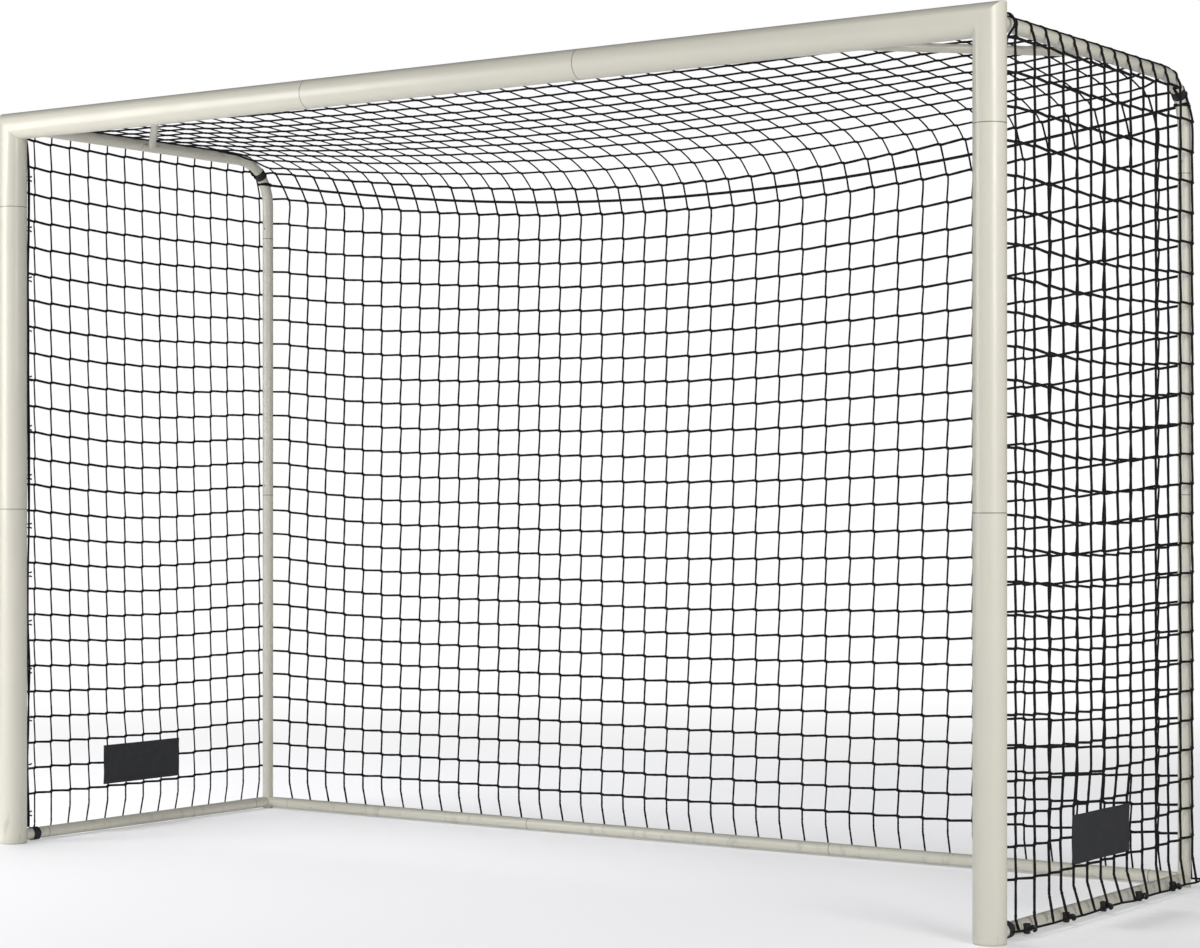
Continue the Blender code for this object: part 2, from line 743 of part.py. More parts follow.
def make_patch(side, from_plane):
    """A blank label patch, flat against one face of the side net."""
    low_y = FRONT_Y + PATCH_FROM_FRONT
    high_y = low_y + PATCH_LENGTH
    high_z = PATCH_Z + PATCH_HEIGHT
    outline = [(low_y, PATCH_Z), (high_y, PATCH_Z), (high_y, high_z), (low_y, high_z)]
    x = side * (HALF_WIDTH + NET_PLANE + from_plane)
    return make_plate("label_patch_" + side_name(side), outline, PATCH_THICKNESS, x, "patch_fabric")


def make_rope():
    """The tension rope sags from upright to upright, just inside the net."""
    curve = bpy.data.curves.new("tension_rope", "CURVE")
    curve.dimensions = "3D"
    curve.bevel_depth = ROPE_RADIUS
    curve.bevel_resolution = 2
    curve.use_fill_caps = True
    spline = curve.splines.new("POLY")
    spline.points.add(ROPE_POINTS - 1)
    for index, slot in enumerate(spline.points):
        x = ROPE_SPAN * (2 * index / (ROPE_POINTS - 1) - 1)
        t = rope_station(x)
        y, z = net_section(x, t)
        next_y, next_z = net_section(x, t + 0.01)
        along = Vector((next_y - y, next_z - z)).normalized()
        slot.co = (x, y - along.y * ROPE_INSET, z + along.x * ROPE_INSET, 1.0)
    curve.materials.append(MATERIALS["rope"])
    rope = bpy.data.objects.new("tension_rope", curve)
    PARTS.objects.link(rope)
    return rope


# ---------------------------------------------------------------- the whole goal


def make_side(side):
    corner = make_front_corner(side)
    make_front_sections(side)
    make_feet(side)
    arm, leg = 0.2, 0.2
    tool_name = "corner_surface_" + side_name(side)
    corner_tool = add_cutter(tool_name, elbow_mesh(tool_name, FRONT_RADIUS + GAP, arm, leg, side, closed=True))
    corner_tool.location = corner_point(side)
    top_tube = make_side_top_tube(side, corner_tool)
    upright = make_rear_upright(side)
    rear_corner = make_rear_corner(side)
    make_ground_tubes(side)
    make_brace(side, corner, top_tube)
    make_button_joints(side, top_tube, upright, rear_corner)
    make_straps(side)
    make_side_net(side)


def make_goal():
    for side in (-1, 1):
        make_side(side)
    seam = BAR_SEAM_X - GAP / 2
    pipe(
        "crossbar_middle", (-seam, FRONT_Y, BAR_Z), (seam, FRONT_Y, BAR_Z), FRONT_RADIUS, FRONT_WALL, FRONT_SIDES
    )
    make_rear_ground_tubes()
    make_net_sheet("net_back", 12, 8, back_surface)
    make_net_sheet("net_roof", 12, 9, roof_surface)
    make_rope()
    off_net = NET_THICKNESS / 2 + GAP + PATCH_THICKNESS / 2
    make_patch(-1, -off_net)
    make_patch(1, off_net)


clear_scene()
PARTS = make_collection(COLLECTION)
CUTTERS = make_collection("cutters")
MATERIALS = make_materials()
make_goal()
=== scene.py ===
"""Looks of the soccer goal frame: finishes, knotted net, cords, clips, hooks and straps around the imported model.

Metres, in the model's own frame: +X across the mouth, +Y towards the back, +Z up.
"""

import math
import random

import bmesh
import bpy
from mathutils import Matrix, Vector


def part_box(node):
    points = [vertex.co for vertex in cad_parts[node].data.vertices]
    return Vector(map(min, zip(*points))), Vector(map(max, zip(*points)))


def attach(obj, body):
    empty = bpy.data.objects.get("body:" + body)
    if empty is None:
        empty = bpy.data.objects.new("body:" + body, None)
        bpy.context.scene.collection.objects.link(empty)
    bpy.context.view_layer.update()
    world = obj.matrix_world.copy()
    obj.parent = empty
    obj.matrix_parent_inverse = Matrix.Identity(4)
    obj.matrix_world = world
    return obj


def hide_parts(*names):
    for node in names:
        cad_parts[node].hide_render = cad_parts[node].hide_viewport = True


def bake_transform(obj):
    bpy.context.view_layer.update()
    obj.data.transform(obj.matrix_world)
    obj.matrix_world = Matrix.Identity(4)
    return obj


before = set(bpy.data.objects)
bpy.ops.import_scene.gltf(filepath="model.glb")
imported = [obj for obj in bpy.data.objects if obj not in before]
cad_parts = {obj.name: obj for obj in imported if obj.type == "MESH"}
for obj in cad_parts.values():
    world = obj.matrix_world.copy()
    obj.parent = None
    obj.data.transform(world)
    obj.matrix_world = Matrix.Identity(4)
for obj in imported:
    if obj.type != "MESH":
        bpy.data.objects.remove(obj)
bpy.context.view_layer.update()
RANDOM = random.Random(7)
BODY = "frame"


def tag_of(side):
    return "right" if side > 0 else "left"


def centre(node):
    low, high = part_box(node)
    return (Vector(low) + Vector(high)) / 2


def half_size(node):
    low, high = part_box(node)
    return (Vector(high) - Vector(low)) / 2


# Places read from the model
HALF_WIDTH = centre("lower_post_right").x
FRONT_Y = centre("lower_post_right").y
FRONT_RADIUS = half_size("lower_post_right").x
BAR_Z = centre("crossbar_middle").z
REAR_Y = centre("rear_upright_right").y
THIN_RADIUS = half_size("rear_upright_right").x
FRAME_DEPTH = REAR_Y - FRONT_Y
BAR_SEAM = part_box("crossbar_middle")[1][0]
POST_SEAMS = (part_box("upper_post_right")[1][2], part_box("lower_post_right")[1][2])

# Sizes that the model's own source gives
BEND_RADIUS = 0.130
BRACE_REACH = 0.560
BRACE_RADIUS = 0.011
NET_GAP = 0.0188
NET_HALF_WIDTH = HALF_WIDTH - 0.021
NET_FRONT = 0.044
ROPE_RADIUS = 0.004
ROPE_INSET = 0.0085
ROPE_POINTS = 61
ROPE_SPAN = HALF_WIDTH - THIN_RADIUS - 0.001
BEND_Y = REAR_Y - BEND_RADIUS
BEND_Z = BAR_Z - BEND_RADIUS

# Net: square mesh, rows counted from the ground, columns from the front or from the left
SIDE_ROWS = 26
SIDE_COLUMNS = 14
FIRST_SIDE_COLUMN = FRONT_Y + 0.0962
SIDE_MESH = 0.0750
SIDE_GAP = 0.0257
FIRST_SIDE_GAP = 0.0155
PATCH_CLEARANCE = 0.0060
PATCH_REACH = 0.13
BACK_COLUMNS = 40
FIRST_BACK_COLUMN = -1.464
BACK_MESH = 0.0749 * 1.0007
ROWS = SIDE_ROWS + SIDE_COLUMNS - 1
BACK_ROW_RADIUS = 3.6
BACK_COLUMN_RADIUS = 2.85
SIDE_ROW_RADIUS = {-1: 3.6, 1: 3.35}
SIDE_COLUMN_RADIUS = {-1: 2.35, 1: 3.1}
ROOF_ROW_RADIUS = 2.7
ROOF_COLUMN_RADIUS = 2.1
KNOT_WIRE = 1.5
KNOT_RADIUS = 0.0028
TWINE_JITTER = 0.0005
SIDE_ROW_TILT = 0.0021
SIDE_COLUMN_TILT = 0.0026
BACK_ROW_TILT = -0.0022
BACK_COLUMN_TILT = -0.0026
FLARE = 0.018
KINK_Z = 0.084
FRONT_KINK_Z = 0.042
BORDER_Z = 0.017
BORDER_RADIUS = 2.6
EDGE_CORD_Y = FRONT_Y + 0.057

# Row heights as a constant, a linear and a square term of the row's number
SIDE_HEIGHTS = (0.132, 0.0729, 0.000084)
MIDDLE_HEIGHTS = (0.123, 0.0672, 0.000115)

# Sag of the side rows: its least and its further depth, the row and column that shape it, and its spread in rows
SAG_LEAST = 0.0042
SAG_FURTHER = 0.0182
SAG_DEEPEST_ROW = 11.7
SAG_ROW_SPREAD = 8.6
SAG_LAST_COLUMN = 12.7

# Millimetres between the back panel and an even sag. Each line is an even power of the share of the half
# width, 0 to 6; in it stand the powers 0 to 5 of the share of the half height.
BACK_DRIFT = (
    (8.1, 34.4, -10.6, -69.8, -0.6, 35.8),
    (34.8, -14.9, -26.2, 34.8, 1.6, -11.0),
    (-272.9, 52.2, 358.5, 15.5, -90.7, -38.1),
    (216.8, -25.5, -321.3, -115.4, 81.7, 107.9),
)

# Fixings of the net
CLIP_FIRST = 0.0775
CLIP_PITCH = 0.1353
CLIP_SPREAD = 0.00035
CLIP_COUNT = 14
CLIP_REACH = 0.0695
PRONG_GAP = 0.010
PRONG_RADIUS = 2.2
BAR_CLIPS = 20
HOOKS = 5
REAR_HOOKS = 15
HOOK_FIRST = 0.150
HOOK_PITCH = 0.204
LEAF_THICKNESS = 0.0005


# ---------------------------------------------------------------- finishes


class Finish:
    """A Principled material, with short calls for the procedural nodes that feed it."""

    def __init__(self, name, colour, roughness, metallic=0.0):
        self.material = bpy.data.materials.new(name)
        self.material.use_nodes = True
        self.nodes = self.material.node_tree.nodes
        self.links = self.material.node_tree.links
        self.shader = self.nodes["Principled BSDF"]
        self.colour = colour
        self.shader.inputs["Base Color"].default_value = (*colour, 1)
        self.shader.inputs["Roughness"].default_value = roughness
        self.shader.inputs["Metallic"].default_value = metallic
        self.place = self.nodes.new("ShaderNodeTexCoord").outputs["Object"]

    def noise(self, scale, detail=3.0, stretch=None):
        node = self.nodes.new("ShaderNodeTexNoise")
        node.inputs["Scale"].default_value = scale
        node.inputs["Detail"].default_value = detail
        place = self.place
        if stretch:
            mapping = self.nodes.new("ShaderNodeMapping")
            mapping.inputs["Scale"].default_value = stretch
            self.links.new(place, mapping.inputs["Vector"])
            place = mapping.outputs["Vector"]
        self.links.new(place, node.inputs["Vector"])
        return node.outputs["Fac"]

    def wave(self, scale, direction, distortion=0.0):
        """Stripes across a direction, scale of them to the metre."""
        along = self.nodes.new("ShaderNodeVectorMath")
        along.operation = "DOT_PRODUCT"
        along.inputs[1].default_value = Vector(direction).normalized()
        self.links.new(self.place, along.inputs[0])
        value = along.outputs["Value"]
        if distortion:
            value = self.math("ADD", value, self.math("MULTIPLY", self.noise(60), distortion))
        return self.math("SINE", self.math("MULTIPLY", value, math.tau * scale))

    def math(self, operation, first, second=None):
        node = self.nodes.new("ShaderNodeMath")
        node.operation = operation
        for slot, value in zip(node.inputs, (first, second)):
            if value is None:
                continue
            if isinstance(value, (int, float)):
                slot.default_value = value
            else:
                self.links.new(value, slot)
        return node.outputs["Value"]

    def axis(self, name):
        split = self.nodes.new("ShaderNodeSeparateXYZ")
        self.links.new(self.place, split.inputs["Vector"])
        return split.outputs[name]

    def span(self, value, low, high, to_low, to_high):
        node = self.nodes.new("ShaderNodeMapRange")
        for slot, number in zip(list(node.inputs)[1:5], (low, high, to_low, to_high)):
            slot.default_value = number
        self.links.new(value, node.inputs["Value"])
        return node.outputs["Result"]

    def tint(self, factor, colour):
        """Mixes the colour so far towards another one by a factor socket."""
        mix = self.nodes.new("ShaderNodeMix")
        mix.data_type = "RGBA"
        base = self.shader.inputs["Base Color"]
        if base.is_linked:
            self.links.new(base.links[0].from_socket, mix.inputs["A"])
        else:
            mix.inputs["A"].default_value = (*self.colour, 1)
        mix.inputs["B"].default_value = (*colour, 1)
        self.links.new(factor, mix.inputs["Factor"])
        self.links.new(mix.outputs["Result"], base)

    def roughen(self, value, low, high):
        self.links.new(self.span(value, 0.3, 0.7, low, high), self.shader.inputs["Roughness"])

    def bump(self, height, depth, strength=1.0):
        node = self.nodes.new("ShaderNodeBump")
        node.inputs["Strength"].default_value = strength
        node.inputs["Distance"].default_value = depth
        self.links.new(height, node.inputs["Height"])
        normal = self.shader.inputs["Normal"]
        if normal.is_linked:
            self.links.new(normal.links[0].from_socket, node.inputs["Normal"])
        self.links.new(node.outputs["Normal"], normal)


def paint(name, seams=()):
    """Cream powder coat: orange peel, faint clouding, scuffs low down and a painted shade line at each joint,
    standing in for the shadow in the joint's gap.
    """
    finish = Finish(name, (0.67, 0.65, 0.555), 0.34)
    finish.shader.inputs["Coat Weight"].default_value = 0.12
    finish.shader.inputs["Coat Roughness"].default_value = 0.22
    finish.tint(finish.span(finish.noise(5, 2), 0.35, 0.65, 0.0, 0.22), (0.60, 0.585, 0.51))
    speck = finish.span(finish.noise(420, 2), 0.70, 0.78, 0.0, 0.35)
    finish.tint(speck, (0.46, 0.44, 0.38))
    low_down = finish.span(finish.axis("Z"), 0.0, 0.22, 1.0, 0.0)
    scuffs = finish.span(finish.noise(38, 5, (1, 1, 0.35)), 0.56, 0.72, 0.0, 0.5)
    finish.tint(finish.math("MULTIPLY", low_down, scuffs), (0.36, 0.34, 0.28))
    # Painted shade: a dark line along each joint plane stands in for the shadow in the narrow gap between two tubes.
    for axis, place in seams:
        away = finish.math("ABSOLUTE", finish.math("SUBTRACT", finish.axis(axis), place))
        finish.tint(finish.span(away, 0.0006, 0.0016, 0.85, 0.0), (0.13, 0.125, 0.11))
    finish.roughen(finish.noise(22, 4), 0.30, 0.42)
    finish.bump(finish.noise(520, 1.5), 0.00018)
    finish.bump(finish.noise(90, 1), 0.00025, 0.5)
    return finish.material


def bare_metal(name, colour, roughness):
    """Plated or drawn steel with fine drawing lines."""
    finish = Finish(name, colour, roughness, 1.0)
    finish.tint(finish.span(finish.noise(70, 4), 0.4, 0.7, 0.0, 0.4), tuple(0.72 * part for part in colour))
    finish.roughen(finish.noise(160, 4, (1, 1, 0.1)), roughness - 0.06, roughness + 0.12)
    finish.bump(finish.noise(900, 2, (1, 1, 0.08)), 0.00006)
    return finish.material


def plastic(name, colour, roughness):
    """Moulded plastic with a fine grain."""
    finish = Finish(name, colour, roughness)
    finish.tint(finish.span(finish.noise(30, 3), 0.4, 0.7, 0.0, 0.35), tuple(0.8 * part for part in colour))
    finish.roughen(finish.noise(120, 3), roughness - 0.05, roughness + 0.08)
    finish.bump(finish.noise(1500, 2), 0.00008)
    return finish.material


def twine(name, colour, lay):
    """Braided twine: two sets of slanting strands, lay of them to the metre, and loose fibres."""
    finish = Finish(name, colour, 0.78)
    finish.shader.inputs["Specular IOR Level"].default_value = 0.18
    one = finish.wave(lay, (1, 1, 1), 0.002)
    two = finish.wave(lay, (1, -1, -1), 0.002)
    braid = finish.math("MAXIMUM", one, two)
    # Painted shade: the grooves between the braid's strands are darkened.
    finish.tint(finish.span(braid, -0.5, 1.0, 0.55, 0.0), tuple(0.35 * part for part in colour))
    fibres = finish.noise(2600, 3)
    finish.tint(finish.span(fibres, 0.58, 0.75, 0.0, 0.5), tuple(1.8 * part for part in colour))
    finish.roughen(fibres, 0.70, 0.86)
    finish.bump(braid, 0.00045)
    finish.bump(fibres, 0.00012, 0.7)
    return finish.material


def woven(name, colour, threads):
    """Plain weave: warp and weft stripes, threads of each to the metre."""
    finish = Finish(name, colour, 0.78)
    warp = finish.wave(threads, (0.02, 1, 0.0), 0.0004)
    weft = finish.wave(threads, (0.0, 0.02, 1), 0.0004)
    cloth = finish.math("MULTIPLY", warp, weft)
    # Painted shade: the dips between warp and weft threads are darkened.
    finish.tint(finish.span(cloth, -1.0, 1.0, 0.5, 0.0), tuple(0.5 * part for part in colour))
    finish.tint(finish.span(finish.noise(45, 4), 0.45, 0.75, 0.0, 0.35), tuple(1.5 * part for part in colour))
    finish.roughen(finish.noise(700, 2), 0.68, 0.88)
    finish.bump(cloth, 0.00022)
    finish.bump(finish.noise(60, 2), 0.0004, 0.5)
    return finish.material


def make_finishes():
    front_seams = [("X", side * BAR_SEAM) for side in (-1, 1)]
    post_seams = [("Z", height) for height in POST_SEAMS]
    rear_seams = [("Z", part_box(node)[0][2]) for node in ("rear_upright_right", "side_top_tube_right")]
    side_seams = [("Y", corner[1]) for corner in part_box("side_ground_tube_right")]
    inner, outer = (corner[0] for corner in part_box("rear_ground_tube_right"))
    back_seams = [("X", side * place) for side in (-1, 1) for place in (inner, outer)]
    return {
        "bar_paint": paint("bar_paint", front_seams),
        "post_paint": paint("post_paint", post_seams),
        "corner_paint": paint("corner_paint", front_seams + post_seams[:1]),
        "rear_paint": paint("rear_paint", rear_seams),
        "rear_corner_paint": paint("rear_corner_paint", rear_seams[:1] + back_seams[2:] + side_seams[1:]),
        "side_paint": paint("side_paint", side_seams),
        "back_paint": paint("back_paint", back_seams),
        "plain_paint": paint("plain_paint"),
        "inner_steel": bare_metal("inner_steel_finish", (0.46, 0.47, 0.48), 0.42),
        "zinc": bare_metal("zinc_finish", (0.58, 0.59, 0.58), 0.36),
        "cap": plastic("cap_finish", (0.56, 0.545, 0.46), 0.55),
        "black_plastic": plastic("black_plastic_finish", (0.012, 0.012, 0.013), 0.48),
        "twine": twine("twine_finish", (0.012, 0.012, 0.014), 420),
        "rope": twine("rope_finish", (0.013, 0.013, 0.015), 230),
        "strap": woven("strap_finish", (0.017, 0.017, 0.019), 620),
        "patch": woven("patch_finish", (0.030, 0.031, 0.035), 900),
        "thread": twine("thread_finish", (0.09, 0.092, 0.10), 900),
    }


NODE_FINISHES = (
    ("crossbar_middle", "bar_paint"),
    ("corner_brace", "plain_paint"),
    ("corner_", "corner_paint"),
    ("upper_post", "post_paint"),
    ("lower_post", "post_paint"),
    ("rear_corner_plug", "cap"),
    ("foot_cap", "cap"),
    ("rear_corner", "rear_corner_paint"),
    ("rear_upright", "rear_paint"),
    ("side_top_tube", "rear_paint"),
    ("side_ground_tube", "side_paint"),
    ("front_ground_stub", "side_paint"),
    ("rear_ground_tube", "back_paint"),
    ("post_sleeve", "inner_steel"),
    ("crossbar_sleeve", "inner_steel"),
    ("brace_screw", "zinc"),
    ("snap_button", "zinc"),
)


def finish_nodes():
    """Gives every CAD node that shows its finish, with its facets shaded as the curves they stand for."""
    for name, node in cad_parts.items():
        finish = next((finish for start, finish in NODE_FINISHES if name.startswith(start)), None)
        if finish is None:
            continue
        for slot in node.material_slots:
            slot.material = FINISHES[finish]
        if node.data.has_custom_normals:
            node.data.attributes.remove(node.data.attributes["custom_normal"])
        node.data.shade_smooth()
        weld = node.modifiers.new("weld", "WELD")
        weld.merge_threshold = 0.00002
        edges = node.modifiers.new("edges", "EDGE_SPLIT")
        edges.split_angle = math.radians(32)


# ---------------------------------------------------------------- curves and small solids


def cords(name, paths, finish, scale=0.001, sides=6, cyclic=False):
    """Round cords along chains of (point, radius) pairs, all in one curve. A radius is in millimetres."""
    data = bpy.data.curves.new(name, "CURVE")
    data.dimensions = "3D"
    data.bevel_depth = scale
    data.bevel_resolution = (sides - 4) // 2
    data.use_fill_caps = True
    for path in paths:
        spline = data.splines.new("POLY")
        spline.points.add(len(path) - 1)
        spline.points.foreach_set("co", [value for point, _ in path for value in (*point, 1.0)])
        spline.points.foreach_set("radius", [radius for _, radius in path])
        spline.use_cyclic_u = cyclic
        spline.use_smooth = True
    data.materials.append(FINISHES[finish])
    piece = bpy.data.objects.new(name, data)
    bpy.context.scene.collection.objects.link(piece)
    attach(piece, BODY)
    return piece


def solid(name, work, finish, bevel=0.0, angle=30, rides=True):
    """Turns a bmesh into a piece, its edges rounded by bevel. It rides on the frame unless rides is false, when it is
    left unattached.
    """
    bmesh.ops.recalc_face_normals(work, faces=work.faces)
    mesh = bpy.data.meshes.new(name)
    work.to_mesh(mesh)
    work.free()
    mesh.shade_smooth()
    mesh.set_sharp_from_angle(angle=math.radians(angle))
    mesh.materials.append(FINISHES[finish])
    piece = bpy.data.objects.new(name, mesh)
    bpy.context.scene.collection.objects.link(piece)
    if bevel:
        rounding = piece.modifiers.new("rounding", "BEVEL")
        rounding.width = bevel
        rounding.segments = 2
        rounding.limit_method = "ANGLE"
    if rides:
        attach(piece, BODY)
    return piece


def spline_points(knots, shares):
    """A smooth curve through knots: each knot, then the points at the given shares of the way to the next."""
    for index in range(len(knots) - 1):
        before = knots[max(index - 1, 0)]
        here, after = knots[index], knots[index + 1]
        beyond = knots[min(index + 2, len(knots) - 1)]
        yield index, 0.0, here
        for t in shares:
            bend = (
                2 * here
                + (after - before) * t
                + (2 * before - 5 * here + 4 * after - beyond) * t**2
                + (3 * here - before - 3 * after + beyond) * t**3
            )
            yield index, t, bend / 2
    yield len(knots) - 1, 0.0, knots[-1]


# ---------------------------------------------------------------- the net's surface


def bezier(points, t):
    weights = ((1 - t) ** 3, 3 * (1 - t) ** 2 * t, 3 * (1 - t) * t**2, t**3)
    return tuple(sum(w * point[axis] for w, point in zip(weights, points)) for axis in (0, 1))


def smoothstep(low, high, value):
    t = min(max((value - low) / (high - low), 0.0), 1.0)
    return t * t * (3 - 2 * t)


def sag(x):
    return 1 - (x / NET_HALF_WIDTH) ** 2


BACK = FRAME_DEPTH + NET_GAP
EDGE_LINE = ((BACK, 1.880), (BACK, 2.058), (0.980, 2.057), (NET_FRONT, 2.057))
MIDDLE_LINE = ((BACK, 1.790), (BACK - 0.010, 2.000), (0.750, 1.975), (NET_FRONT, 2.056))


def brace_lift(x, y):
    """How far the net is held up by the corner brace: 1 over the brace and outside it, 0 in the open."""
    past_brace = (abs(x) - (HALF_WIDTH - BRACE_REACH) - y) / math.sqrt(2)
    return smoothstep(-0.28, -0.02, past_brace)


def net_section(x, t):
    """Y and Z of the roof net at a width x. t runs from the back panel, 0, to the crossbar, 1."""
    pairs = zip(bezier(EDGE_LINE, t), bezier(MIDDLE_LINE, t))
    y, z = (at_edge + sag(x) * (at_middle - at_edge) for at_edge, at_middle in pairs)
    held = BAR_Z + BRACE_RADIUS + 0.004
    lift = max(held - z, 0.0) * brace_lift(x, y)
    return FRONT_Y + y, z + lift


def rope_station(x):
    """Where the tension rope crosses the net at a width x, as a share of the roof section."""
    return 0.09 + 0.13 * (x / NET_HALF_WIDTH) ** 2


def rope_point(x):
    """A point of the tension rope, just inside the net."""
    t = rope_station(x)
    y, z = net_section(x, t)
    next_y, next_z = net_section(x, t + 0.01)
    along = Vector((next_y - y, next_z - z)).normalized()
    return Vector((x, y - along.y * ROPE_INSET, z + along.x * ROPE_INSET))


def tie_angle():
    """Where on the side tube's bend the rope is tied, as an angle up from the horizontal."""
    end = rope_point(ROPE_SPAN)
    return math.atan2(end.z - BEND_Z, end.y - BEND_Y)


def solve(function, target, low=0.0, high=1.0):
    """The share at which a function that rises from low to high reaches target."""
    for _ in range(40):
        middle = (low + high) / 2
        if function(middle) < target:
            low = middle
        else:
            high = middle
    return (low + high) / 2


def side_row_height(row):
    return SIDE_HEIGHTS[0] + SIDE_HEIGHTS[1] * row + SIDE_HEIGHTS[2] * row**2


def side_column_place(column):
    return FIRST_SIDE_COLUMN + SIDE_MESH * column


def border_gap(column):
    """How far outside the frame the side's border cord lies: close to the tube at the post."""
    return NET_GAP + FLARE - 0.013 * (1 - smoothstep(-0.5, 2.0, column))


def side_row_sag(row, column):
    """How far the side net's rows hang down between the post and the rear corner, most at half height."""
    share = min(column / SAG_LAST_COLUMN, 1.0)
    depth = SAG_LEAST + SAG_FURTHER * math.exp(-(((row - SAG_DEEPEST_ROW) / SAG_ROW_SPREAD) ** 2))
    return depth * max(math.sin(math.pi * share**0.93), 0.0) ** 1.2


def side_gap(side, row, column):
    """How far the side net hangs outside the frame: drawn in by the post's clips and flat at the patch.

    The patch lies outside the right net and inside the left one.
    """
    gap = FIRST_SIDE_GAP if column == 0 else SIDE_GAP
    low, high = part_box("label_patch_" + tag_of(side))
    at_patch = abs(low[0] + high[0]) / 2 - HALF_WIDTH - side * PATCH_CLEARANCE
    place, height = side_column_place(column), side_row_height(row)
    off_y = max(low[1] - place, place - high[1], 0.0)
    off_z = max(low[2] - height, height - high[2], 0.0)
    flat = 1 - smoothstep(0.0, PATCH_REACH, math.hypot(off_y, off_z))
    return gap + flat * (at_patch - gap)


def middle_row_height(row):
    """Height of a back row at mid-span, where the panel has sagged."""
    return MIDDLE_HEIGHTS[0] + MIDDLE_HEIGHTS[1] * row + MIDDLE_HEIGHTS[2] * row**2


def back_drift(x, row):
    """How far a back knot stands above an even sag."""
    across, up = x / NET_HALF_WIDTH, (row - 12) / 12
    total = sum(
        value * across ** (2 * even) * up**power
        for even, line in enumerate(BACK_DRIFT)
        for power, value in enumerate(line)
    )
    return 0.001 * (1 - across**2) * total


def roof_shares():
    """For each row past the flat back: its share of the roof section at the edges and at mid-span."""
    first = SIDE_ROWS - 2
    edge = [solve(lambda t: bezier(EDGE_LINE, t)[1], side_row_height(row), 0, 0.5) for row in (first, first + 1)]
    for column in range(SIDE_COLUMNS - 2, -1, -1):
        place = side_column_place(column) - FRONT_Y
        edge.append(solve(lambda t: -bezier(EDGE_LINE, t)[0], -place))
    steps = 400
    line = [Vector(bezier(MIDDLE_LINE, step / steps)) for step in range(steps + 1)]
    run = [0.0]
    for one, two in zip(line, line[1:]):
        run.append(run[-1] + (two - one).length)
    start = 0.012
    last = run[-1] - 0.046
    middle = []
    for index in range(len(edge)):
        length = start + (last - start) * index / (len(edge) - 1)
        middle.append(solve(lambda t: run[min(int(t * steps), steps)], length))
    return list(zip(edge, middle))


ROOF_SHARES = roof_shares()


def back_point(x, row):
    """A knot of the back and roof net."""
    flat_rows = SIDE_ROWS - 2
    if row < flat_rows:
        height = side_row_height(row) + sag(x) * (middle_row_height(row) - side_row_height(row))
        return Vector((x, FRONT_Y + BACK, height + back_drift(x, row)))
    at_edge, at_middle = ROOF_SHARES[row - flat_rows]
    return Vector((x, *net_section(x, at_edge + sag(x) * (at_middle - at_edge))))


def edge_ring(row):
    """Centre of the side tube and the direction out of it at a row: up the rear upright, then round the bend."""
    if row < SIDE_ROWS - 2:
        return Vector((0, REAR_Y, side_row_height(row))), Vector((0, 1, 0))
    if row < SIDE_ROWS:
        angle = math.asin((side_row_height(row) - BEND_Z) / (BEND_RADIUS + NET_GAP))
    else:
        place = side_column_place(ROWS - 1 - row)
        if place <= BEND_Y:
            return Vector((0, place, BAR_Z)), Vector((0, 0, 1))
        angle = math.acos((place - BEND_Y) / (BEND_RADIUS + NET_GAP))
    out = Vector((0, math.cos(angle), math.sin(angle)))
    return Vector((0, BEND_Y, BEND_Z)) + out * BEND_RADIUS, out


def on_tube(side, row, turn):
    """A point of the net against the side tube. turn is 0 on its outer side and 90 degrees on its far side."""
    middle, out = edge_ring(row)
    angle = math.radians(turn)
    return middle + Vector((side * (HALF_WIDTH + NET_GAP * math.cos(angle)), 0, 0)) + out * NET_GAP * math.sin(angle)


def edge_turn(row):
    """How far round the tube the net's corner line lies: behind the upright, right on top further forward."""
    return 70 + 20 * smoothstep(SIDE_ROWS - 3, SIDE_ROWS + 2, row)


# ---------------------------------------------------------------- net panels


def shaken(point, size=TWINE_JITTER):
    return point + Vector((RANDOM.uniform(-size, size) for _ in range(3)))


def strand(knots, across, radius, tilt, plain=0):
    """A strand through its knots. Each knot shifts it, so between two knots it runs aslant by tilt each way.

    The first plain stretches run straight.
    """
    path = []
    for index, t, point in spline_points(knots, (0.09, 0.3, 0.5, 0.7, 0.91)):
        if t == 0.0:
            lean = RANDOM.uniform(-1.0, 1.0) * 0.0004
            path.append((point, 1.2 * radius))
            continue
        way = across[min(index, len(across) - 1)]
        moved = 0.0 if index < plain else tilt * (1 - 2 * t) + lean * 4 * t * (1 - t)
        path.append((point + way * moved, radius * RANDOM.uniform(0.93, 1.07)))
    return path


def knot_loop(point, along, across):
    """A small closed turn of twine round a crossing, like the loop of a sheet bend."""
    out = along.cross(across).normalized()
    tilt = RANDOM.uniform(-0.5, 0.5)
    ring = []
    for step in range(10):
        angle = math.tau * step / 10
        flat = (along * math.cos(angle + tilt) + across * math.sin(angle + tilt) * 0.85) * KNOT_RADIUS
        ring.append((point + flat + out * 0.0017 * math.cos(2 * angle), KNOT_WIRE))
    return ring


def direction(grid, row, column, row_step, column_step):
    """Unit vector along a net grid at one of its knots."""
    ahead = grid[min(row + row_step, len(grid) - 1)][min(column + column_step, len(grid[row]) - 1)]
    behind = grid[max(row - row_step, 0)][max(column - column_step, 0)]
    return (ahead - behind).normalized()


